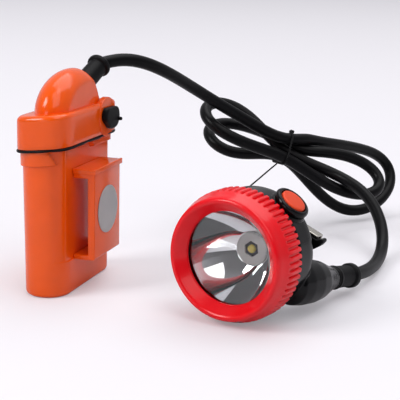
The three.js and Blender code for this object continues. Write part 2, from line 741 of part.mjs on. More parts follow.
// Upright rounded sections facing one heading, each grown by the given allowance.
function bundleSections(stations, heading, grow) {
  const side = [-Math.sin(rad(heading)), Math.cos(rad(heading))];
  const count = 20;
  return stations.map(([x, y, z, halfWidth, halfHeight]) => {
    const section = [];
    for (let i = 0; i < count; i++) {
      const angle = (2 * Math.PI * i) / count;
      const across = (halfWidth + grow) * Math.cos(angle);
      section.push([x + side[0] * across, y + side[1] * across, z + (halfHeight + grow) * Math.sin(angle)]);
    }
    return section;
  });
}

function bundle(grow) {
  const along = (heading, distance) => [distance * Math.cos(rad(heading)), distance * Math.sin(rad(heading))];
  const rings = [
    ...bundleSections(HANK_LEFT, HANK_HEADING.left, grow),
    ...bundleSections(HANK_WAIST, HANK_HEADING.waist, grow),
    ...bundleSections(HANK_RIGHT, HANK_HEADING.right, grow),
  ];
  const shifts = [along(HANK_HEADING.left, -grow), along(HANK_HEADING.right, grow)];
  rings[0] = rings[0].map(([x, y, z]) => [x + shifts[0][0], y + shifts[0][1], z]);
  rings[rings.length - 1] = rings.at(-1).map(([x, y, z]) => [x + shifts[1][0], y + shifts[1][1], z]);
  return solidOf(loft(rings));
}

// The tie round the bundle's waist, with the knob of its twisted ends on top.
function hankTie() {
  const band = (grow, width) => {
    const [a, b] = HANK_WAIST;
    const mid = a.map((value, i) => (value + b[i]) / 2);
    const slope = (b[2] - a[2]) / Math.hypot(b[0] - a[0], b[1] - a[1]);
    const ends = [-0.5, 0.5].map((t) => {
      const d = t * width;
      const cos = Math.cos(rad(HANK_HEADING.waist));
      const sin = Math.sin(rad(HANK_HEADING.waist));
      return [mid[0] + d * cos, mid[1] + d * sin, mid[2] + slope * d, mid[3], mid[4]];
    });
    return solidOf(loft(bundleSections(ends, HANK_HEADING.waist, grow)));
  };
  const [x, y, z] = HANK_WAIST[0].map((value, i) => (value + HANK_WAIST[1][i]) / 2);
  const knob = rod(1.9, 1.5, 0, 4.5, 12).translate(x, y, z + HANK_WAIST[0][4] + GAP + 0.3);
  const ring = band(GAP + TIE.thickness, TIE.width).subtract(band(GAP, 3 * TIE.width));
  return ring.add(solidOf(knob));
}

// Two points on a gland's axis: just clear of its end, where the cord begins, and a little further out.
function axisPoints(end) {
  const ends = [end + GAP, end + CORD.radius].map((distance) => new THREE.Vector3(0, 0, distance));
  return new THREE.BufferGeometry().setFromPoints(ends);
}

function pointsOf(geometry) {
  const [ax, ay, az, bx, by, bz] = geometry.attributes.position.array;
  return [
    [ax, ay, az],
    [bx, by, bz],
  ];
}

function buildCord() {
  const clearance = bundle(GAP);
  const packEnd = pointsOf(onSeat(axisPoints(GLAND.length)));
  const headEnd = alongEntry(axisPoints(ENTRY.length + HEAD_GLAND.length)).applyMatrix4(head.matrixWorld);
  add("cord_lead_pack", cordTube([...packEnd, ...LEAD_FROM_PACK]).subtract(clearance), "rubber");
  add("cord_hank", bundle(0), "rubber");
  add("cord_lead_head", cordTube([...pointsOf(headEnd), ...LEAD_FROM_HEAD]).subtract(clearance), "rubber");
  add("hank_tie", hankTie(), "black");
}

buildPack();
buildHead();
buildCord();

export default group;
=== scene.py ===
"""Miner's cap lamp: finished meshes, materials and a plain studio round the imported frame.

Lengths in the tables are millimetres in the frame's own axes, and MM turns them into metres.
"""
import json
import math

import bmesh
import bpy
import numpy as np
from mathutils import Matrix, Vector


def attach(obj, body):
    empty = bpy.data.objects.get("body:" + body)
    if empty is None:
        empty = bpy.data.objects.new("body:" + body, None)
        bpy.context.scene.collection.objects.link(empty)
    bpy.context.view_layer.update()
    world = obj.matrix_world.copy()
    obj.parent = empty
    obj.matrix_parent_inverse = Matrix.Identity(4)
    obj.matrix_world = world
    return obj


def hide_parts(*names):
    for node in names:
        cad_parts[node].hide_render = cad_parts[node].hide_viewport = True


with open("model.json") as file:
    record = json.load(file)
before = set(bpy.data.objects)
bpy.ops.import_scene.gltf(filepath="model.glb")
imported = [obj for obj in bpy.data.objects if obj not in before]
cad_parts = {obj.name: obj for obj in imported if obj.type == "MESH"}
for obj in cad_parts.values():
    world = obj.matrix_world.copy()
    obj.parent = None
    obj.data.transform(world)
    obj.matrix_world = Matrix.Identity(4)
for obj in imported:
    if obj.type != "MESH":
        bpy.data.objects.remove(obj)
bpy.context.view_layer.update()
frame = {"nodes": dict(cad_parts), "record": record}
MM = 0.001
JOINTS = {joint["name"]: joint for joint in frame["record"]["behaviour"]["joints"]}

# ---------------------------------------------------------------- sizes shared with the design
SLANT = 0.1
CASE = {"length": 81, "thickness": 29.6, "draft": 0.9, "height": 87.4, "fillet": 2.5}
COVER = {
    "length": 85.4, "thickness": 35.4, "back": 16.3, "low": 89.0, "top": 108.3, "fillet": 3.0, "square": 2.8,
}
SEAL = {"z": 88.15, "inset": 0.5, "half_width": 0.95, "half_height": 0.8}
DOME = {"centre": (2.6, 0.4, 106.2), "radii": (16.6, 35.7, 25.2), "flat": 13.6}
SEAT = {"place": (1.6, 15.9, 118.5), "tilt": 28.3, "turn": 9}
RIM = {"place": (17.6, 19.5, 100.6), "radius": 12.2}
PLUG = {"stem": (18.2, 20.5, 100.2), "nub": (21.2, 28.6, 98.6)}
LOOP = {"y": (-21.4, 16.8), "z": (20.9, 75.8), "x": (13.8, 27.4), "plate": 4.3, "wall": 3.0}
LABEL = {"place": (27.55, -2.3, 48.8), "radius": 14.4}
SCREWS = {"y": (-22, 22), "z": 92.57, "seat": -15.3}
CLAMP_SCREW = (12.5, 12.5, 112.9)
CORD_DIAMETER = 8.2
GLAND_LENGTH = 25.0
ENTRY = {"x": 29.5, "z": -44.0, "length": 36.0, "lean": 11.0}
HEAD_GLAND_LENGTH = 23.0
SWITCH_Z = -33.6
SHELL_BACK = -48.3
TEETH = 60
BOWL = {"inner": 9.2, "outer": 27.2, "bottom": -32.2, "rise": 19.1}
ASKEW = {"turn": 15.8, "shift": 4}
CLIP = {"low": 19.7, "high": 21.1, "rear": -58.0, "toe": -9, "half": 22.5, "tongue": 12, "rivets": (-11, 11)}

# The headpiece's own frame: +Z out of the lens, +Y towards the switch. TO_SWITCH has its +Z towards the
# switch, and ENTRY_AXIS has its +Z out along the cable.
forward = Vector(JOINTS["bezel_turn"]["axis"]).normalized()
towards_switch = -Vector(JOINTS["button_press"]["axis"]).normalized()
HEAD = Matrix((towards_switch.cross(forward), towards_switch, forward)).transposed().to_4x4()
HEAD.translation = Vector(JOINTS["bezel_turn"]["pos_m"]) / MM
TO_SWITCH = HEAD @ Matrix.Translation((0, 0, SWITCH_Z)) @ Matrix.Rotation(-math.pi / 2, 4, "X")
ENTRY_AXIS = (
    HEAD
    @ Matrix.Translation((ENTRY["x"], 0, ENTRY["z"]))
    @ Matrix.Rotation(math.pi - math.radians(ENTRY["lean"]), 4, "Y")
)
# The seat of the pack's strain relief: +Z out along the cord.
SEAT_AXIS = (
    Matrix.Translation(SEAT["place"])
    @ Matrix.Rotation(-math.radians(SEAT["turn"]), 4, "Z")
    @ Matrix.Rotation(math.radians(SEAT["tilt"]) - math.pi / 2, 4, "X")
)


# ---------------------------------------------------------------- camera
# Metres for the place, degrees for the angles, millimetres for the lens. The heading is a direction in plan.
CAMERA = {"place": (0.2809, -0.5918, 0.2082), "heading": (-0.3140, 0.9494), "pitch": 13.45, "roll": 1.33}
LENS = {"length": 98.56, "sensor": 36, "near": 0.05, "far": 50}


def make_camera():
    data = bpy.data.cameras.new("camera")
    data.lens = LENS["length"]
    data.sensor_width = LENS["sensor"]
    data.clip_start = LENS["near"]
    data.clip_end = LENS["far"]
    camera = bpy.data.objects.new("camera", data)
    bpy.context.collection.objects.link(camera)
    pitch = math.radians(CAMERA["pitch"])
    x, y = CAMERA["heading"]
    look = Vector((x * math.cos(pitch), y * math.cos(pitch), -math.sin(pitch)))
    turn = look.to_track_quat("-Z", "Y").to_matrix().to_4x4()
    roll = Matrix.Rotation(math.radians(CAMERA["roll"]), 4, "Z")
    camera.matrix_world = Matrix.Translation(CAMERA["place"]) @ turn @ roll
    bpy.context.scene.camera = camera


make_camera()

# ---------------------------------------------------------------- cord
# Round the bundle: from the pack, the outer right-hand loop, the lower left-hand loop, the inner right-hand
# loop, the upper left-hand loop, and on to the headpiece.
ROUTE_FROM_PACK = [
    (10.5, 48.5, 134.3), (17, 56, 133.6), (24.7, 64, 130.2), (32.6, 80, 123.2), (37, 98, 115.5),
    (42.5, 116, 107), (52, 130, 97.5), (66, 143, 86.5), (81, 153, 76.5), (94.8, 162.3, 66.7),
]
ROUTE_RIGHT_OUTER = [
    (107, 180, 65), (122.3, 206.6, 60.6), (136.2, 236, 53), (147.3, 256, 46), (156, 266, 37),
    (159.5, 261, 27), (158.5, 246, 19), (153.5, 232, 12), (145, 222, 7.5), (135, 216.5, 5),
    (123.9, 208, 12), (113.3, 197, 24.2), (103, 185, 39.5), (94.5, 177, 52), (85.4, 171.5, 59.9),
]
ROUTE_LEFT_LOWER = [
    (75, 161, 57), (64.7, 151.5, 56), (52.7, 145.5, 59.5), (42.5, 145.5, 66), (36, 156, 72.5),
    (36, 172, 75), (44.5, 186, 75), (60, 189, 71.5), (77, 181, 68.5), (90.2, 169.5, 66.7),
]
ROUTE_RIGHT_INNER = [
    (102, 175.5, 63), (114.1, 182.5, 59.5), (125, 191, 56.8), (139.2, 202, 52.6), (152, 209, 45),
    (161, 204, 36.5), (161, 190, 29.5), (150, 179.5, 28), (136, 174, 31.5), (121.8, 170, 38.5),
    (110, 164, 47.5), (102, 160, 54), (94.5, 157.1, 59.9),
]
ROUTE_LEFT_UPPER = [
    (84, 147, 62.5), (74, 136.4, 68.5), (60.4, 127, 75.5), (47.5, 126.5, 82.5), (38.5, 139, 90),
    (40.5, 158, 94.5), (52, 169, 91.8), (66, 170, 83.5), (79, 167.5, 72), (89.9, 164.3, 59.9),
]
ROUTE_TO_HEAD = [
    (97, 167.5, 56.5), (104.5, 171, 53.5), (114.2, 176.5, 49.5), (125, 179, 45), (136, 176, 41.5),
    (148.5, 166, 38.4), (160, 153, 33.8), (168, 145.5, 26), (172.6, 137, 17), (175.4, 125, 9),
    (175.6, 110, 5), (175.6, 93, 5), (175.2, 78.5, 6), (174.3, 65, 7.4), (172.3, 54, 9),
]
ROUTE_STEP = 3.0
END_GAP = 0.1
# How the route settles: its points keep a gap from each other and a height over the floor. Points that are
# neighbours along the cord do not push each other, and only the first rounds take out the kinks.
SETTLING = {
    "gap": 8.5, "floor": 4.2, "neighbours": 9, "rounds": 8, "unkinked": 2, "pushes": 30, "firmness": 0.2,
}


def spaced(points, step):
    """Points along the same line, an even step apart."""
    walked = np.concatenate(([0], np.cumsum(np.linalg.norm(np.diff(points, axis=0), axis=1))))
    places = np.linspace(0, walked[-1], int(round(walked[-1] / step)) + 1)
    return np.stack([np.interp(places, walked, column) for column in points.T], axis=1)


def rounded(points, per_span=12):
    """A Catmull-Rom curve through the points."""
    p = np.vstack([2 * points[0] - points[1], points, 2 * points[-1] - points[-2]])
    t = np.linspace(0, 1, per_span, endpoint=False)[:, None]
    spans = []
    for a, b, c, d in zip(p[:-3], p[1:-2], p[2:-1], p[3:]):
        spans.append(0.5 * (2 * b + (c - a) * t + (2 * a - 5 * b + 4 * c - d) * t**2
                            + (3 * b - a - 3 * c + d) * t**3))
    return np.vstack(spans + [points[-1:]])


def softened(points, sigma):
    """The points averaged with a bell curve along the line."""
    reach = int(3 * sigma)
    weights = np.exp(-0.5 * (np.arange(-reach, reach + 1) / sigma) ** 2)
    weights /= weights.sum()
    before = 2 * points[0] - points[1 : reach + 1][::-1]
    after = 2 * points[-1] - points[-reach - 1 : -1][::-1]
    padded = np.vstack([before, points, after])
    return np.stack([np.convolve(padded[:, axis], weights, "valid") for axis in range(3)], axis=1)


def settled(points, first_sigma=3.4, sigma=1.5):
    """The route as a stiff cord lies: no kinks, its strands a diameter apart, and nothing under the floor."""
    gap = SETTLING["gap"]
    number = np.arange(len(points))
    apart = np.abs(number[:, None] - number[None]) > SETTLING["neighbours"]
    ends = points[[0, -1]]
    for turn in range(SETTLING["rounds"]):
        if turn < SETTLING["unkinked"]:
            once = softened(points, first_sigma)
            points = 2 * once - softened(once, first_sigma)
        for _ in range(SETTLING["pushes"]):
            away = points[:, None] - points[None]
            distance = np.linalg.norm(away, axis=2)
            push = np.where(apart & (distance < gap), (gap - distance) / np.maximum(distance, 1e-6), 0)
            points = points + SETTLING["firmness"] * (away * push[:, :, None]).sum(axis=1)
            points[:, 2] = np.maximum(points[:, 2], SETTLING["floor"])
        points = softened(points, sigma)
    points[[0, -1]] = ends
    return points


def on_axis(matrix, distance):
    return tuple(matrix @ Vector((0, 0, distance)))


def cord_route():
    """The whole route, from one strain relief's mouth to the other's."""
    hand = [on_axis(SEAT_AXIS, GLAND_LENGTH + END_GAP), on_axis(SEAT_AXIS, GLAND_LENGTH + 6)]
    hand += ROUTE_FROM_PACK + ROUTE_RIGHT_OUTER + ROUTE_LEFT_LOWER
    hand += ROUTE_RIGHT_INNER + ROUTE_LEFT_UPPER + ROUTE_TO_HEAD
    tail = ENTRY["length"] + HEAD_GLAND_LENGTH
    hand += [on_axis(ENTRY_AXIS, tail + 4), on_axis(ENTRY_AXIS, tail + END_GAP)]
    return settled(spaced(rounded(np.array(hand, float)), ROUTE_STEP))


def curve_object(name, points, diameter, resolution=6):
    """A round tube along millimetre points, as a curve of one open spline.

    Blender counts each point's radius into the curve's bounds, so the radius is the tube's own and the bevel
    is 1.
    """
    data = bpy.data.curves.new(name, "CURVE")
    data.dimensions = "3D"
    data.bevel_depth = 1.0
    data.bevel_resolution = resolution
    data.use_fill_caps = True
    spline = data.splines.new("POLY")
    spline.points.add(len(points) - 1)
    for point, place in zip(spline.points, points):
        point.co = (*(float(c) * MM for c in place), 1)
        point.radius = diameter * MM / 2
    spline.use_smooth = True
    obj = bpy.data.objects.new(name, data)
    bpy.context.collection.objects.link(obj)
    return obj


route = cord_route()
cord = curve_object("lamp_cord", route, CORD_DIAMETER)
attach(cord, "root")
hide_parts("cord_lead_pack", "cord_hank", "cord_lead_head")


# ---------------------------------------------------------------- mesh helpers
def new_object(name, mesh):
    obj = bpy.data.objects.new(name, mesh)
    bpy.context.collection.objects.link(obj)
    return obj


def shade(obj, crease=32):
    """Smooth shading with hard edges wherever two faces meet at more than the crease angle."""
    bm = bmesh.new()
    bm.from_mesh(obj.data)
    bmesh.ops.recalc_face_normals(bm, faces=bm.faces)
    for face in bm.faces:
        face.smooth = True
    for edge in bm.edges:
        edge.smooth = len(edge.link_faces) == 2 and edge.calc_face_angle(0) < math.radians(crease)
    bm.to_mesh(obj.data)
    bm.free()
    return obj


def mesh_object(name, points, faces, matrix=None):
    """An object from millimetre points, placed by a millimetre matrix."""
    if matrix is not None:
        points = [matrix @ Vector(p) for p in points]
    mesh = bpy.data.meshes.new(name)
    mesh.from_pydata([tuple(float(c) * MM for c in p) for p in points], [], faces)
    mesh.validate()
    return new_object(name, mesh)


def loft(name, rings, matrix=None, closed=False):
    """A skin over rings of equally many points. The ends are capped, or joined to each other."""
    count = len(rings[0])
    faces = []
    pairs = list(zip(range(len(rings) - 1), range(1, len(rings))))
    if closed:
        pairs.append((len(rings) - 1, 0))
    for low, high in pairs:
        for i in range(count):
            j = (i + 1) % count
            faces.append((low * count + i, low * count + j, high * count + j, high * count + i))
    if not closed:
        faces.append(tuple(range(count))[::-1])
        faces.append(tuple((len(rings) - 1) * count + i for i in range(count)))
    return mesh_object(name, [p for ring in rings for p in ring], faces, matrix)


def filleted(profile, radius, steps=4):
    """An open line of (a, b) pairs with its corners rounded, as quadratic arcs."""
    out = [profile[0]]
    for before, corner, after in zip(profile[:-2], profile[1:-1], profile[2:]):
        c = np.array(corner, float)
        to_before = np.array(before, float) - c
        to_after = np.array(after, float) - c
        reach = min(radius, 0.45 * np.linalg.norm(to_before), 0.45 * np.linalg.norm(to_after))
        start = c + to_before / max(np.linalg.norm(to_before), 1e-9) * reach
        end = c + to_after / max(np.linalg.norm(to_after), 1e-9) * reach
        for i in range(steps + 1):
            t = i / steps
            out.append(tuple((1 - t) ** 2 * start + 2 * t * (1 - t) * c + t**2 * end))
    out.append(profile[-1])
    return out


def lathe(name, profile, matrix=None, sides=96, radius=0.0, shape=None):
    """A body turned about Z from (radius, z) pairs.

    A profile that starts and ends on the axis is closed there. shape(r, z, angle) may change the radius.
    """
    if radius:
        profile = filleted(profile, radius)
    on_axis_ends = profile[0][0] == 0 and profile[-1][0] == 0
    inner = profile[1:-1] if on_axis_ends else profile
    points = []
    for i in range(sides):
        angle = 2 * math.pi * i / sides
        for r, z in inner:
            reach = shape(r, z, angle) if shape else r
            points.append((reach * math.cos(angle), reach * math.sin(angle), z))
    count = len(inner)
    faces = []
    spans = count - 1 if on_axis_ends else count
    for i in range(sides):
        j = (i + 1) % sides
        for k in range(spans):
            n = (k + 1) % count
            faces.append((i * count + k, j * count + k, j * count + n, i * count + n))
    if on_axis_ends:
        faces.append(tuple(i * count for i in range(sides))[::-1])
        faces.append(tuple(i * count + count - 1 for i in range(sides)))
    return mesh_object(name, points, faces, matrix)


def prism(name, outline, low, high, matrix=None):
    """An outline of (x, y) pairs, extruded from z low to z high."""
    rings = [[(x, y, z) for x, y in outline] for z in (low, high)]
    return loft(name, rings, matrix)


def block(name, x, y, z, matrix=None):
    return prism(name, [(x[0], y[0]), (x[1], y[0]), (x[1], y[1]), (x[0], y[1])], z[0], z[1], matrix)


def applied(obj):
    """Bakes the object's modifiers into its mesh."""
    graph = bpy.context.evaluated_depsgraph_get()
    mesh = bpy.data.meshes.new_from_object(obj.evaluated_get(graph))
    obj.modifiers.clear()
    obj.data = mesh
    return obj


def combined(obj, other, operation):
    """The boolean of two closed bodies, which uses the second one up."""
    modifier = obj.modifiers.new("combine", "BOOLEAN")
    modifier.operation = operation
    modifier.solver = "EXACT"
    modifier.object = other
    applied(obj)
    bpy.data.objects.remove(other)
    return obj


def bevelled(obj, width, segments=3):
    """The body with its flat faces cleaned, and every edge sharper than 30 degrees rounded."""
    bm = bmesh.new()
    bm.from_mesh(obj.data)
    bmesh.ops.remove_doubles(bm, verts=bm.verts, dist=1e-6)
    bmesh.ops.dissolve_limit(bm, angle_limit=math.radians(1), verts=bm.verts, edges=bm.edges)
    bm.to_mesh(obj.data)
    bm.free()
    modifier = obj.modifiers.new("bevel", "BEVEL")
    modifier.width = width * MM
    modifier.segments = segments
    modifier.limit_method = "ANGLE"
    modifier.angle_limit = math.radians(30)
    return applied(obj)


def fused(obj, voxel, rounds, keep):
    """Melts overlapping closed skins into one, with small fillets where they meet."""
    remesh = obj.modifiers.new("remesh", "REMESH")
    remesh.mode = "VOXEL"
    remesh.voxel_size = voxel * MM
    smooth = obj.modifiers.new("smooth", "SMOOTH")
    smooth.factor = 0.5
    smooth.iterations = rounds
    thin = obj.modifiers.new("thin", "DECIMATE")
    thin.ratio = keep
    return applied(obj)


def joined(name, objects):
    """One object that holds the others' meshes."""
    bm = bmesh.new()
    for obj in objects:
        bm.from_mesh(obj.data)
        bpy.data.objects.remove(obj)
    mesh = bpy.data.meshes.new(name)
    bm.to_mesh(mesh)
    bm.free()
    return new_object(name, mesh)


def place(obj, body, slot, finish, *nodes):
    """Rides a piece on its body, with its finish, in place of the CAD nodes that it stands for."""
    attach(obj, body)
    if nodes:
        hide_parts(*nodes)
    obj.data.materials.clear()
    obj.data.materials.append(finish)
    return obj


# ---------------------------------------------------------------- materials
CLOUD = {"scale": 60, "detail": 6, "low": 0.3, "high": 0.7}
ROUGHNESS_SPREAD = (0.8, 1.25)
GRAIN_DEPTH = 0.0002
SUBSURFACE_RADIUS = (0.004, 0.0015, 0.0006)


def material(name, colour, roughness, metallic=0.0, coat=0.0, speckle=0.04, grain=0.0, scale=900.0,
             shine=0.5, subsurface=0.0, streaks=None):
    """A finish with a slight cloudiness of colour, a varied roughness and a moulded or ground texture."""
    mat = bpy.data.materials.new(name)
    mat.use_nodes = True
    nodes, links = mat.node_tree.nodes, mat.node_tree.links
    shader = nodes["Principled BSDF"]
    shader.inputs["Metallic"].default_value = metallic
    shader.inputs["Coat Weight"].default_value = coat
    shader.inputs["Coat Roughness"].default_value = 0.05
    shader.inputs["Specular IOR Level"].default_value = shine
    shader.inputs["Subsurface Weight"].default_value = subsurface
    shader.inputs["Subsurface Radius"].default_value = SUBSURFACE_RADIUS
    place_in = nodes.new("ShaderNodeTexCoord")
    cloud = nodes.new("ShaderNodeTexNoise")
    cloud.inputs["Scale"].default_value = CLOUD["scale"]
    cloud.inputs["Detail"].default_value = CLOUD["detail"]
    links.new(place_in.outputs["Object"], cloud.inputs["Vector"])
    ramp = nodes.new("ShaderNodeValToRGB")
    ramp.color_ramp.elements[0].position = CLOUD["low"]
    ramp.color_ramp.elements[1].position = CLOUD["high"]
    ramp.color_ramp.elements[0].color = (*(c * (1 - speckle) for c in colour), 1)
    ramp.color_ramp.elements[1].color = (*(min(c * (1 + speckle), 1) for c in colour), 1)
    links.new(cloud.outputs["Fac"], ramp.inputs["Fac"])
    links.new(ramp.outputs["Color"], shader.inputs["Base Color"])
    rough = nodes.new("ShaderNodeMapRange")
    rough.inputs["To Min"].default_value = max(roughness * ROUGHNESS_SPREAD[0], 0.01)
    rough.inputs["To Max"].default_value = min(roughness * ROUGHNESS_SPREAD[1], 1)
    fine = nodes.new("ShaderNodeTexNoise")
    fine.inputs["Scale"].default_value = scale
    fine.inputs["Detail"].default_value = 3
    if streaks:
        stretch = nodes.new("ShaderNodeMapping")
        stretch.inputs["Scale"].default_value = streaks
        links.new(place_in.outputs["Object"], stretch.inputs["Vector"])
        links.new(stretch.outputs["Vector"], fine.inputs["Vector"])
    else:
        links.new(place_in.outputs["Object"], fine.inputs["Vector"])
    links.new(fine.outputs["Fac"], rough.inputs["Value"])
    links.new(rough.outputs["Result"], shader.inputs["Roughness"])
    if grain:
        bump = nodes.new("ShaderNodeBump")
        bump.inputs["Strength"].default_value = grain
        bump.inputs["Distance"].default_value = GRAIN_DEPTH
        links.new(fine.outputs["Fac"], bump.inputs["Height"])
        links.new(bump.outputs["Normal"], shader.inputs["Normal"])
    return mat


def clear_material():
    mat = bpy.data.materials.new("clear_window")
    mat.use_nodes = True
    shader = mat.node_tree.nodes["Principled BSDF"]
    shader.inputs["Base Color"].default_value = (1, 1, 1, 1)
    shader.inputs["Roughness"].default_value = 0.0
    shader.inputs["Transmission Weight"].default_value = 1.0
    shader.inputs["IOR"].default_value = 1.45
    return mat


ORANGE = material("orange_abs", (0.88, 0.098, 0.0025), 0.16, coat=0.08, speckle=0.04, grain=0.015, scale=300,
                  shine=0.38, subsurface=0.04)
RED = material("red_bezel", (0.82, 0.003, 0.010), 0.22, coat=0.08, speckle=0.05, grain=0.02, scale=400,
               shine=0.35)
BUTTON = material("button_orange", (0.76, 0.06, 0.012), 0.42, speckle=0.08, grain=0.25, scale=1800, shine=0.3)
BLACK = material("black_gloss", (0.0018, 0.0018, 0.0026), 0.14, speckle=0.15, shine=0.2)
SATIN = material("black_plastic", (0.0025, 0.0025, 0.0032), 0.34, speckle=0.15, grain=0.1, scale=1500,
                 shine=0.14)
RUBBER = material("rubber_black", (0.0025, 0.0025, 0.0032), 0.42, speckle=0.2, grain=0.15, scale=1600,
                  shine=0.14)
CORD = material("cord_rubber", (0.0025, 0.0024, 0.0032), 0.36, speckle=0.2, grain=0.12, scale=1400,
                shine=0.13)
CHROME = material("reflector_chrome", (0.80, 0.81, 0.82), 0.035, metallic=1, speckle=0.01)
STEEL = material("spring_steel", (0.55, 0.53, 0.48), 0.25, metallic=1, speckle=0.05, grain=0.1, scale=400,
                 streaks=(1, 12, 1))
ALLOY = material("alloy", (0.6, 0.61, 0.63), 0.4, metallic=1, grain=0.2, scale=1200)
FILM = material("label_film", (0.46, 0.46, 0.46), 0.38, metallic=0.35, speckle=0.05, grain=0.1, scale=1800)
GREEN = material("board_green", (0.02, 0.16, 0.06), 0.35, speckle=0.2)
WRAP = material("cell_wrap", (0.03, 0.12, 0.42), 0.25, coat=0.4)
PHOSPHOR = material("phosphor", (0.85, 0.66, 0.05), 0.25, coat=0.8, speckle=0.1)
SEAT_GREY = material("led_seat_grey", (0.62, 0.62, 0.61), 0.45, metallic=0.2, speckle=0.05)
CLEAR = clear_material()
# The pieces inside, which are shown as the design has them.
KEPT = {
    "battery_cell_1": WRAP, "battery_cell_2": WRAP, "battery_cell_3": WRAP, "cell_cradle": SATIN,
    "cell_retainer": SATIN, "protection_board": GREEN, "charge_jack": STEEL, "led_board": ALLOY,
    "heat_sink": ALLOY, "driver_board": GREEN, "micro_switch": SATIN, "lens_gasket": RUBBER,
}
for node, finish in KEPT.items():
    frame["nodes"][node].data.materials.clear()
    frame["nodes"][node].data.materials.append(finish)
cord.data.materials.append(CORD)


# ---------------------------------------------------------------- battery pack
def step_up(value, low, high):
    """0 below low, 1 above high, and a smooth rise between them."""
    t = min(max((value - low) / (high - low), 0), 1)
    return t * t * (3 - 2 * t)


def soft_min(a, b, radius):
    """The smaller of two values, rounded off where they are close."""
    t = max(radius - abs(a - b), 0) / radius
    return min(a, b) - t * t * radius / 4


def plan(length, thickness, square, end_points=44, side_points=34):
    """The pack's plan outline, anticlockwise: two rounded ends and two flat sides."""
    half = thickness / 2
    centre = length / 2 - half
    points = []
    for end in (1, -1):
        for i in range(end_points + 1):
            angle = math.pi * i / end_points + (0 if end > 0 else math.pi)
            c, s = math.cos(angle), math.sin(angle)
            x = half * math.copysign(abs(c) ** (2 / square), c)
            y = end * centre + half * math.copysign(abs(s) ** (2 / square), s)
            points.append((x, y))
        for i in range(1, side_points):
            points.append((-end * half, end * centre * (1 - 2 * i / side_points)))
    return points


END_CENTRE = CASE["length"] / 2 - CASE["thickness"] / 2
# The case's slant fades in over these heights, up to the cover's.
SLANT_FROM, SLANT_TO = 30, 76
# The collar under the parting line. On the belt side it ends at a turn in degrees round the -Y end, and begins
# again at a place along the flat. Both edges move with the height, by their slopes.
LIP = {"proud": 1.3, "low": 79.0, "far_low": 83.0}
LIP_END = {"turn": 46, "at": 79.6, "slope": 2.3, "fade": 2.5}
LIP_START = {"y": 0.7, "slope": 0.84, "fade": 0.7}
# The belt side is cut back to a plane, with a slanted facet at each end, from a foot where the cut fades in.
RECESS = {"low": 21.0, "fade": 0.8, "plane": 13.5, "facet_turn": 38.0, "facet": 13.8, "facet_from": 6}
RELIEF = {"below": 3, "on_lip": 2, "edge": 1.2, "facet_edge": 0.7}


def outward(x, y):
    """The plan's outward direction at a point of the case wall."""
    over = y - math.copysign(END_CENTRE, y)
    if over * y <= 0:
        return math.copysign(1, x), 0.0
    reach = math.hypot(x, over)
    return x / reach, over / reach


def lip_share(x, y, z):
    """How far the collar stands out here, from 0 to 1."""
    low = LIP["low"]
    share = 1.0
    if x > 0 and y < -END_CENTRE:
        turn = math.degrees(math.atan2(-(y + END_CENTRE), x))
        edge = LIP_END["turn"] + (z - LIP_END["at"]) * LIP_END["slope"]
        share = step_up(turn, edge - LIP_END["fade"], edge + LIP_END["fade"])
    elif x > 0:
        edge = LIP_START["y"] + (CASE["height"] - z) * LIP_START["slope"]
        share = step_up(y, edge - LIP_START["fade"], edge + LIP_START["fade"])
        low = low + (LIP["far_low"] - low) * step_up(x, 5, 12)
    return share * step_up(z, low - 0.25, low + 0.35)


def case_ring(z, inset=0.0):
    """The case wall's outline at a height, drawn in by the inset, and slanted higher up like the cover."""
    narrow = inset + CASE["draft"] * (1 - z / CASE["height"])
    ring = []
    deep = step_up(z, RECESS["low"] - RECESS["fade"], RECESS["low"] + RECESS["fade"])
    turn = math.radians(RECESS["facet_turn"])
    for x, y in plan(CASE["length"] - 2 * narrow, CASE["thickness"] - 2 * narrow, 2):
        lip = LIP["proud"] * lip_share(x, y, z)
        nx, ny = outward(x, y)
        x, y = x + nx * lip, y + ny * lip
        if deep > 0 and x > 0:
            relief = RELIEF["below"] * (1 - deep) + RELIEF["on_lip"] * lip - inset
            x = soft_min(x, RECESS["plane"] + relief, RELIEF["edge"])
            fx, fy = math.cos(turn), math.copysign(math.sin(turn), y)
            reach = x * fx + (y - math.copysign(END_CENTRE, y)) * fy
            if abs(y) > END_CENTRE - RECESS["facet_from"]:
                cut = reach - soft_min(reach, RECESS["facet"] + relief, RELIEF["facet_edge"])
                x, y = x - fx * cut, y - fy * cut
        ring.append((x, y, z + SLANT * x * step_up(z, SLANT_FROM, SLANT_TO)))
    return ring


def pack_case():
    """The case: a rounded foot, rings that are closer where the wall changes, a rounded rim and a neck."""
    fillet, height = CASE["fillet"], CASE["height"]
    rim = 0.3
    neck_inset, neck_height = 3.0, 7
    rings = []
    for i in range(9):
        angle = math.pi / 2 * i / 8
        rings.append(case_ring(fillet * (1 - math.cos(angle)), fillet * (1 - math.sin(angle))))
    heights = [6, 12, 18, 20]
    for start, stop, step in ((20.3, 22, 0.2), (24, 78, 4.5), (78.6, 79.6, 0.12), (79.8, 82.6, 0.4),
                              (82.7, 83.5, 0.12), (83.8, 86.9, 0.4)):
        heights += [*np.arange(start, stop, step)]
    rings += [case_ring(z) for z in heights]
    for t in (0, 0.5, 0.8, 1):
        rings.append(case_ring(height - rim + rim * t, rim * (1 - math.sqrt(1 - t * t))))
    rings += [case_ring(height, neck_inset), case_ring(height + neck_height, neck_inset)]
    return place(shade(loft("case_body", rings)), "root", "orange_abs", ORANGE, "pack_case")


def cover_plan(inset):
    """The cover's outline, which stands out less on the back than on the belt side."""
    narrower = (COVER["back"] - inset) / (COVER["thickness"] / 2 - inset)
    outline = plan(COVER["length"] - 2 * inset, COVER["thickness"] - 2 * inset, COVER["square"], 60, 30)
    return [(x * narrower if x < 0 else x, y) for x, y in outline]


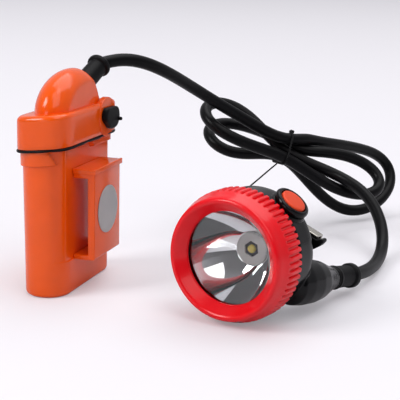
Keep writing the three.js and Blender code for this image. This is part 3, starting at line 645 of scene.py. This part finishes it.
def cover_ring(z, inset=0.0):
    """The cover's outline at a height, on the slant."""
    return [(x, y, z + SLANT * x) for x, y in cover_plan(inset)]


def cover_skin():
    """The cover without its dome: a small chamfer below, upright sides and a rounded top edge."""
    low, top, fillet = COVER["low"], COVER["top"], COVER["fillet"]
    rings = [cover_ring(low, 0.5), cover_ring(low + 0.15, 0.15), cover_ring(low + 0.5)]
    rings += [cover_ring(z) for z in (92, 96, 100, 103)]
    for i in range(11):
        angle = math.pi / 2 * i / 10
        rings.append(cover_ring(top - fillet * (1 - math.sin(angle)), fillet * (1 - math.cos(angle))))
    return loft("cover_shell", rings)


def dome_skin(sides=160, rows=110, soft=18, crisp=70):
    """An egg-shaped dome cut by its flat side and by the gland's seat, with its edges rounded off."""
    centre = Vector(DOME["centre"])
    seat = SEAT_AXIS.to_3x3() @ Vector((0, 0, 1))
    to_seat = seat.dot(Vector(SEAT["place"]) - centre)
    to_flat = DOME["flat"] - centre.x
    rings = []
    for row in range(1, rows):
        a = math.pi * row / rows
        ring = []
        for i in range(sides):
            b = 2 * math.pi * i / sides
            d = Vector((math.sin(a) * math.cos(b), -math.cos(a), math.sin(a) * math.sin(b)))
            egg = 1 / math.sqrt(sum((d[k] / DOME["radii"][k]) ** 2 for k in range(3)))
            reach = egg
            for distance, share, power in ((to_seat, seat.dot(d), soft), (to_flat, d.x, crisp)):
                if share > 1e-3:
                    reach = (reach**-power + (distance / share) ** -power) ** (-1 / power)
            ring.append(centre + d * reach)
        rings.append(ring)
    return loft("dome", rings)


def turned_to_x(x, y, z):
    """Places a shape made along +Z at a point, pointing along +X."""
    return Matrix.Translation((x, y, z)) @ Matrix.Rotation(math.pi / 2, 4, "Y")


def pack_cover():
    """The cover and its dome, with a raised rim round the plug and two screw pockets on the back."""
    cover = combined(cover_skin(), dome_skin(), "UNION")
    profile = [(0, -3), (RIM["radius"], -3), (RIM["radius"], 0.55), (0, 0.55)]
    cover = combined(cover, lathe("rim", profile, turned_to_x(*RIM["place"]), 64, 0.5), "UNION")
    pocket_profile = [(0, -2), (3, -2), (3, 1.3), (0, 1.3)]
    for y in SCREWS["y"]:
        at = turned_to_x(-COVER["back"], y, SCREWS["z"])
        cover = combined(cover, lathe("pocket", pocket_profile, at, 32, 0.2), "DIFFERENCE")
    return place(shade(cover), "root", "orange_abs", ORANGE, "pack_cover")


def cover_seal():
    """A soft cord gasket, squeezed a little unevenly between the case and the cover."""
    outline = cover_plan(SEAL["inset"])
    rings = []
    for i, (x, y) in enumerate(outline):
        ahead = np.subtract(outline[(i + 1) % len(outline)], outline[i - 1])
        normal = np.array((ahead[1], -ahead[0])) / np.linalg.norm(ahead)
        wave = 0.22 * math.sin(x * 0.21 + y * 0.16) + 0.12 * math.sin(y * 0.55 + 1)
        ring = []
        for k in range(12):
            angle = 2 * math.pi * k / 12
            out = SEAL["half_width"] * math.cos(angle) + 0.2 * math.sin(y * 0.3 + x * 0.4)
            up = SEAL["half_height"] * math.sin(angle) + 0.7 * wave
            ring.append((x + normal[0] * out, y + normal[1] * out, SEAL["z"] + SLANT * x + up))
        rings.append(ring)
    seal = loft("seal_band", rings, closed=True)
    tag = bevelled(block("tag", (-16.9, -16.1), (-26.5, -23), (86.6, 90.6)), 0.35)
    return place(shade(joined("cover_gasket", [seal, tag]), 50), "root", "rubber_black", RUBBER, "cover_seal")


# SIDEWAYS draws an outline in XZ and extrudes it along Y. FACING_BELT draws it in YZ and extrudes it along X.
SIDEWAYS = Matrix(((1, 0, 0, 0), (0, 0, 1, 0), (0, 1, 0, 0), (0, 0, 0, 1)))
FACING_BELT = Matrix(((0, 0, 1, 0), (1, 0, 0, 0), (0, 1, 0, 0), (0, 0, 0, 1)))


def belt_loop():
    """The hoop that a belt goes through, with an overhanging lip along its top."""
    (x0, x1), (z0, z1) = LOOP["x"], LOOP["z"]
    inner = x1 - LOOP["plate"]
    low, high = z0 + LOOP["wall"], z1 - LOOP["wall"] - 2.6
    outline = [
        (x0, z0), (x1 - 0.8, z0), (x1, z0 + 1), (x1, z1 - 1), (x0, z1 - 1), (x0, high), (inner, high),
        (inner, low), (x0, low),
    ]
    loop = bevelled(prism("belt_hoop", outline, *LOOP["y"], SIDEWAYS), 0.55)
    flange = [
        (x0, z1 - 2.9), (x1 + 0.9, z1 - 2.9), (x1 + 0.9, z1 + 0.2), (x1 + 0.1, z1 + 0.4),
        (x1 - 1.4, z1 - 0.1), (x0, z1 - 0.1),
    ]
    lip = bevelled(prism("hoop_top", flange, LOOP["y"][0] - 0.9, LOOP["y"][1] + 2, SIDEWAYS), 0.95, 5)
    loop = combined(loop, lip, "UNION")
    return place(shade(loop), "root", "orange_abs", ORANGE, "belt_loop")


def label_disc():
    """The blank round sticker, with a slightly raised edge."""
    radius = LABEL["radius"]
    profile = [(0, 0), (radius, 0), (radius, 0.32), (radius - 0.8, 0.42), (radius - 1.3, 0.36), (0, 0.36)]
    disc = lathe("label", profile, turned_to_x(*LABEL["place"]), 96, 0.08)
    return place(shade(disc, 60), "root", "label_film", FILM, "label_disc")


def charge_plug():
    """A push-in rubber stopper: a rounded five-sided pad with a pull nub, on a ribbed stem."""
    corners = np.array([(11.2, 107.0), (29.2, 106.6), (31.4, 99.4), (27.5, 94.2), (19.0, 92.8), (9.2, 100.4)])
    middle = corners.mean(axis=0)
    outline = np.array(filleted([tuple(c) for c in [*corners, corners[0], corners[1]]], 4.5, 5)[1:-1])
    sections = [(18.15, 0.97), (18.4, 1.0), (20.6, 1.0), (21.3, 0.965), (21.7, 0.9), (21.85, 0.8)]
    keep = spaced(np.vstack([outline, outline[:1]]), 0.8)[:-1]
    rings = [[(*(middle + (p - middle) * scale), x) for p in keep] for x, scale in sections]
    pad = loft("plug_pad", rings, FACING_BELT)
    stem_profile = [
        (0, -6), (3.0, -6), (3.6, -5.2), (3.2, -4.4), (3.6, -3.6), (3.2, -2.8), (3.6, -2), (3.6, 0.5),
        (0, 0.5),
    ]
    stem = lathe("stem", stem_profile, turned_to_x(*PLUG["stem"]), 40, 0.2)
    nub = lathe("nub", [(0, 0), (1.3, 0), (1.0, 2.4), (0, 2.8)], turned_to_x(*PLUG["nub"]), 24, 0.4)
    plug = joined("charge_stopper", [pad, stem, nub])
    return place(shade(plug, 40), "plug", "rubber_black", RUBBER, "charge_plug")


def strain_relief(name, node, matrix, length, radius, ring, ring_length, flange):
    """A rubber sleeve round the cord, with a flange at its seat and a thicker ring at its mouth."""
    profile = [(0, 0.3), (flange, 0.3), (flange, 1.7), (radius + 1.0, 2.4), (radius + 0.35, 4.5)]
    profile += [(radius, length - ring_length - 0.6), (ring - 0.3, length - ring_length)]
    profile += [(ring, length - ring_length + 0.8), (ring, length - 1), (ring - 0.5, length - 0.1)]
    profile += [(CORD_DIAMETER / 2 + 0.5, length), (CORD_DIAMETER / 2 - 0.1, length - 0.4), (0, length - 0.4)]
    body = lathe(name, profile, matrix, 64, 0.45)
    return place(shade(body, 50), "root", "rubber_black", RUBBER, node)


def screw_head(name, node, radius, height, matrix):
    """A pan head with a cross recess, on a short shank."""
    profile = [
        (0, -2), (radius * 0.5, -2), (radius * 0.5, 0), (radius, 0), (radius, height * 0.6),
        (radius * 0.75, height), (0, height * 1.05),
    ]
    head = lathe(name, profile, matrix, 40, 0.12)
    long, wide = radius * 0.62, radius * 0.12
    for turn in (0, math.pi / 2):
        arm = block("slot", (-long, long), (-wide, wide), (height * 0.35, height * 2),
                    matrix @ Matrix.Rotation(turn, 4, "Z"))
        head = combined(head, arm, "DIFFERENCE")
    return place(shade(head), "root", "spring_steel", STEEL, node)


def build_pack():
    pack_case()
    pack_cover()
    cover_seal()
    belt_loop()
    label_disc()
    charge_plug()
    strain_relief("pack_strain_relief", "pack_gland", SEAT_AXIS, GLAND_LENGTH, radius=6.0, ring=7.5,
                  ring_length=3.4, flange=10.0)
    for number, y in enumerate(SCREWS["y"], 1):
        matrix = Matrix.Translation((SCREWS["seat"], y, SCREWS["z"])) @ Matrix.Rotation(-math.pi / 2, 4, "Y")
        screw_head(f"cover_fastener_{number}", f"cover_screw_{number}", 2.6, 0.95, matrix)
    screw_head("clamp_fastener", "cord_clamp_screw", 1.3, 0.9, turned_to_x(*CLAMP_SCREW))


# ---------------------------------------------------------------- headpiece
def dense(profile, step):
    return [tuple(p) for p in spaced(np.array(profile, float), step)]


def knurled(r, z, angle):
    """Square teeth round the bezel's skirt, which fade out towards its smooth front."""
    if r < 34.6:
        return r
    phase = (angle * TEETH / (2 * math.pi)) % 1
    groove = 1 - step_up(0.5 - abs(phase - 0.5), 0.13, 0.24)
    return r - 1.6 * groove * step_up(-z, 8.6, 10.6)


def bezel_ring():
    """The screwed ring: a toothed skirt, a rounded front and a conical inside down to the window."""
    profile = [
        (33.8, -22.2), (37.2, -22.2), (37.7, -21.6), (37.6, -12), (37.0, -9.2), (35.7, -5.6), (34.9, -2.6),
        (34.2, -0.9), (33.2, -0.1), (32.2, 0), (31.2, -0.6), (27.2, -5.0), (26.4, -5.9), (26.2, -6.7),
        (26.2, -7.5), (33.8, -7.5), (33.8, -22.2),
    ]
    ring = lathe("bezel", dense(filleted(profile, 0.8, 4), 0.45)[:-1], HEAD, TEETH * 10, shape=knurled)
    return place(shade(ring, 42), "bezel", "red_bezel", RED, "bezel_ring")


def lens():
    disc = lathe("window", [(0, -10.9), (31, -10.9), (31, -7.9), (0, -7.9)], HEAD, 128, 0.3)
    return place(shade(disc), "lens_carrier", "clear_lens", CLEAR, "lens")


def reflector():
    """A thin parabolic bowl with a flat rim and a flange under the LED's seat."""
    inner, outer_edge = BOWL["inner"], BOWL["outer"]
    bowl = []
    for i in range(41):
        r = inner + (outer_edge - inner) * i / 40
        bowl.append((r, BOWL["bottom"] + BOWL["rise"] * (r**2 - inner**2) / (outer_edge**2 - inner**2)))
    outer = [(r + 1.0, z - 0.6) for r, z in bowl[4:-1]]
    profile = [(4.6, -33.4), (10.8, -33.4), *outer, (30, -14.1), (30, -13.1), *bowl[::-1], (4.6, -32.2)]
    body = lathe("mirror_bowl", profile, HEAD, 128)
    return place(shade(body, 40), "root", "reflector_chrome", CHROME, "reflector")


def hexagon(radius, turn=0.3):
    angles = [math.pi * i / 3 + turn for i in range(6)]
    return [(radius * math.cos(angle), radius * math.sin(angle)) for angle in angles]


def led():
    """A grey round seat with a hexagonal black cup in it, and the emitter's dome in the middle."""
    seat_profile = [(0, -32.15), (9.0, -32.15), (9.0, -31.7), (8.2, -31.35), (0, -31.35)]
    seat = lathe("led_seat", seat_profile, HEAD, 64, 0.15)
    seat = combined(seat, prism("hole", hexagon(4.5), -33, -31, HEAD), "DIFFERENCE")
    place(shade(seat), "root", "alloy", SEAT_GREY)
    cup = bevelled(prism("led_cup", hexagon(4.4), -33.0, -32.1, HEAD), 0.15)
    place(shade(cup), "root", "black_plastic", SATIN)
    dome_profile = [(0, -32.6), (2.35, -32.6), (2.3, -31.6), (1.9, -30.9), (1.1, -30.4), (0, -30.2)]
    dome = lathe("led_dome", dome_profile, HEAD, 48, 0.5)
    place(shade(dome, 50), "root", "phosphor", PHOSPHOR, "led_emitter")


def head_shell():
    """The moulded body: a cup with a boss for the switch and a flared fairing for the cable."""
    outside = [
        (33.2, -13.2), (33.2, -23.4), (35.6, -23.9), (35.6, -36), (35.2, -40), (33, -43.2), (28, -46.6),
        (21, -48), (0, -48),
    ]
    inside = [(0, -45.6), (20, -45.6), (26.5, -44), (31, -40), (30.8, -23.4), (30.8, -13.2)]
    wall = lathe("shell_wall", dense(filleted(outside, 1.2), 0.8) + dense(inside, 0.8), HEAD, 160)
    boss = lathe("boss", [(0, 28), (10.9, 28), (10.9, 35.4), (10.3, 36), (0, 36)], TO_SWITCH, 96)
    cone = [
        (0, -9), (9.5, -9), (12.4, -6), (13.2, 2), (12.9, 12), (11.6, 20), (9.2, 27), (7.6, 32), (6.9, 36),
        (0, 36),
    ]
    fairing = lathe("fairing", dense(cone, 1.0), ENTRY_AXIS, 96)
    body = fused(joined("shell", [wall, boss, fairing]), voxel=0.5, rounds=5, keep=0.45)
    return place(shade(body, 45), "root", "black_gloss", BLACK, "head_shell")


def switch():
    """The round button in its raised ring."""
    boot = [
        (8.1, 36.3), (10.5, 36.3), (10.7, 38.2), (10.3, 39.4), (9.3, 40.0), (8.4, 39.9), (8.1, 39.3),
        (8.1, 36.3),
    ]
    ring = lathe("switch_boot", filleted(boot, 0.5)[:-1], TO_SWITCH, 96)
    place(shade(ring, 50), "root", "black_gloss", BLACK, "switch_ring")
    profile = [(0, 32.5), (7.6, 32.5), (7.6, 39.7), (7.2, 40.3), (6.4, 40.55), (0, 40.75)]
    button = lathe("push_button", profile, TO_SWITCH, 96, 0.3)
    place(shade(button, 50), "button", "button_orange", BUTTON, "switch_button")


def clip():
    """The black block and the spring clip, which stand askew of the switch."""
    turn = Matrix.Rotation(math.radians(ASKEW["turn"]), 4, "Z")
    stance = HEAD @ turn @ Matrix.Translation((ASKEW["shift"], 0, 0))
    half = [
        (13, -2), (17.5, 3), (19.5, 7.5), (21.8, 11.2), (24.6, 14.2), (26.6, 17.2), (27.7, 20.2),
        (27.0, 21.6), (25.6, 21.2), (23.7, 19.4),
    ]
    outline = half + [(-x, y) for x, y in half[::-1]]
    back = bevelled(prism("clip_mount", outline, SHELL_BACK - 4.7, SHELL_BACK + 0.6, stance), 0.5)
    place(shade(back), "root", "black_plastic", SATIN, "clip_block")
    low, high, rear, toe, wide, narrow = (CLIP[k] for k in ("low", "high", "rear", "toe", "half", "tongue"))
    strip = [
        (low, -49.5), (high, -49.5), (high, rear + 1.6), (high - 1.6, rear), (toe + 3, rear),
        (toe, rear - 1.8), (toe, rear - 0.4), (toe + 3, rear + 1.4), (low - 1, rear + 1.4),
        (low, rear + 2.4),
    ]
    blade = prism("hat_clip", filleted([*strip, strip[0]], 0.8, 3)[:-1], -wide, wide, stance @ FACING_BELT)
    right = filleted([(0, toe - 2), (narrow, toe - 2), (narrow, 4.4), (wide, 11.4), (wide, 40)], 3.5, 6)
    keep = prism("keep", right + [(-x, y) for x, y in right[:0:-1]], -75, -40, stance)
    blade = combined(blade, keep, "INTERSECT")
    place(shade(bevelled(blade, 0.25, 2)), "root", "spring_steel", STEEL, "helmet_clip")
    rivet_profile = [(0, -0.4), (2.2, -0.4), (2.0, 0.5), (1.2, 0.9), (0, 1)]
    for number, x in enumerate(CLIP["rivets"], 1):
        matrix = stance @ Matrix.Translation((x, high + 0.3, -51)) @ Matrix.Rotation(-math.pi / 2, 4, "X")
        rivet = lathe(f"rivet_{number}", rivet_profile, matrix, 32, 0.2)
        place(shade(rivet, 50), "root", "spring_steel", STEEL, f"clip_rivet_{number}")


def build_head():
    head_shell()
    bezel_ring()
    lens()
    reflector()
    led()
    switch()
    clip()
    mouth = ENTRY_AXIS @ Matrix.Translation((0, 0, ENTRY["length"]))
    strain_relief("head_strain_relief", "head_gland", mouth, HEAD_GLAND_LENGTH, radius=6.4, ring=7.6,
                  ring_length=4.6, flange=6.7)


# ---------------------------------------------------------------- tie
TIE = {"middle": (93.2, 166.4, 62.2), "along": (0.77, 0.49, -0.41), "reach": 2.2}


def bundle_tie(points):
    """A black wire tie drawn round the strands where they meet, with a twisted knob and one long tail."""
    middle = Vector(TIE["middle"])
    along = Vector(TIE["along"]).normalized()
    up = (Vector((0, 0, 1)) - along * along.z).normalized()
    across = along.cross(up)
    flat = np.array([(Vector(p) - middle)[:] for p in points])
    near = flat[np.abs(flat @ np.array(along)) < TIE["reach"]]
    loop = []
    for i in range(48):
        angle = 2 * math.pi * i / 48
        d = np.array(across) * math.cos(angle) + np.array(up) * math.sin(angle)
        strand = near[(near @ d).argmax()]
        strand = strand - np.array(along) * (strand @ np.array(along))
        loop.append(middle + Vector(strand + d * (CORD_DIAMETER / 2 + 0.5)))
    ring = curve_object("tie_wire", [*loop, loop[0]], 1.5, 3)
    low = middle - up * (float((near @ -np.array(up)).max()) + CORD_DIAMETER / 2 + 0.8)
    hanging = [low + Vector(step) for step in ((-2.5, -4, -2.4), (-8, -12, -8), (-14.5, -21, -14.5))]
    tail = curve_object("tie_tail", [low + up * 1.2, low, *hanging], 1.1, 3)
    top = middle + up * (float((near @ np.array(up)).max()) + CORD_DIAMETER / 2 + 0.9)
    twist = [top + across * a + up * u for a, u in ((-2.4, 0), (-0.8, 0.7), (0.9, 0.3), (2.6, 0.9))]
    knob = curve_object("tie_knob", twist, 2.2, 3)
    pieces = [ring, tail, knob]
    for piece in pieces:
        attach(piece, "root")
        piece.data.materials.append(RUBBER)
    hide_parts("hank_tie")
    return pieces


build_pack()
build_head()
tie_pieces = bundle_tie(route)


# ---------------------------------------------------------------- studio
PAPER = {"colour": (0.62, 0.61, 0.64, 1), "lifted_to": (0.97, 0.95, 1.0, 1), "lift": 0.24}
# The room's brightness, from the front at "from" to the back at "to", as a direction's Y.
ROOM = {"colour": (0.88, 0.87, 0.91, 1), "from": -0.7, "to": 0.6, "front": 0.10, "back": 0.6}


def make_floor():
    """White paper. What the camera sees of it is lifted towards white, so that the object is lit by less."""
    mesh = bpy.data.meshes.new("floor")
    mesh.from_pydata([(-8, -6, 0), (8, -6, 0), (8, 12, 0), (-8, 12, 0)], [], [(0, 1, 2, 3)])
    floor = new_object("floor", mesh)
    mat = bpy.data.materials.new("paper")
    mat.use_nodes = True
    nodes, links = mat.node_tree.nodes, mat.node_tree.links
    shader = nodes["Principled BSDF"]
    shader.inputs["Base Color"].default_value = PAPER["colour"]
    shader.inputs["Roughness"].default_value = 0.8
    shader.inputs["Specular IOR Level"].default_value = 0.1
    shader.inputs["Emission Color"].default_value = PAPER["lifted_to"]
    ray = nodes.new("ShaderNodeLightPath")
    lift = nodes.new("ShaderNodeMath")
    lift.operation = "MULTIPLY"
    lift.inputs[1].default_value = PAPER["lift"]
    links.new(ray.outputs["Is Camera Ray"], lift.inputs[0])
    links.new(lift.outputs[0], shader.inputs["Emission Strength"])
    floor.data.materials.append(mat)


def area_light(name, place_at, aim, size, power, colour=(1, 1, 1)):
    data = bpy.data.lights.new(name, "AREA")
    data.shape = "RECTANGLE"
    data.size, data.size_y = size
    data.energy = power
    data.color = colour
    light = bpy.data.objects.new(name, data)
    bpy.context.collection.objects.link(light)
    light.location = place_at
    light.rotation_euler = (Vector(aim) - Vector(place_at)).to_track_quat("-Z", "Y").to_euler()


def make_world():
    """A room that is dark in front, where the mirror looks, lighter behind, and near-white to the camera."""
    world = bpy.data.worlds.new("studio")
    bpy.context.scene.world = world
    world.use_nodes = True
    nodes, links = world.node_tree.nodes, world.node_tree.links
    direction = nodes.new("ShaderNodeTexCoord")
    split = nodes.new("ShaderNodeSeparateXYZ")
    links.new(direction.outputs["Generated"], split.inputs["Vector"])
    ramp = nodes.new("ShaderNodeMapRange")
    ramp.inputs["From Min"].default_value = ROOM["from"]
    ramp.inputs["From Max"].default_value = ROOM["to"]
    ramp.inputs["To Min"].default_value = ROOM["front"]
    ramp.inputs["To Max"].default_value = ROOM["back"]
    links.new(split.outputs["Y"], ramp.inputs["Value"])
    ray = nodes.new("ShaderNodeLightPath")
    lift = nodes.new("ShaderNodeMath")
    lift.operation = "MAXIMUM"
    links.new(ray.outputs["Is Camera Ray"], lift.inputs[0])
    links.new(ramp.outputs["Result"], lift.inputs[1])
    background = nodes["Background"]
    background.inputs["Color"].default_value = ROOM["colour"]
    links.new(lift.outputs[0], background.inputs["Strength"])


make_floor()
make_world()
area_light("key", (-2.25, -2.25, 2.7), (0.05, 0.05, 0.05), (1.65, 1.65), 88)
area_light("top", (0.6, 1.5, 4.5), (0.08, 0.08, 0), (4.8, 3.6), 110)
area_light("low_front", (-0.75, -3.3, 0.66), (0.1, -0.05, 0.04), (1.2, 0.9), 10)
area_light("right", (1.56, -1.2, 2.64), (0.11, -0.05, 0.04), (1.86, 3.15), 34, (1.0, 0.97, 0.98))
bpy.context.scene.view_settings.view_transform = "Standard"
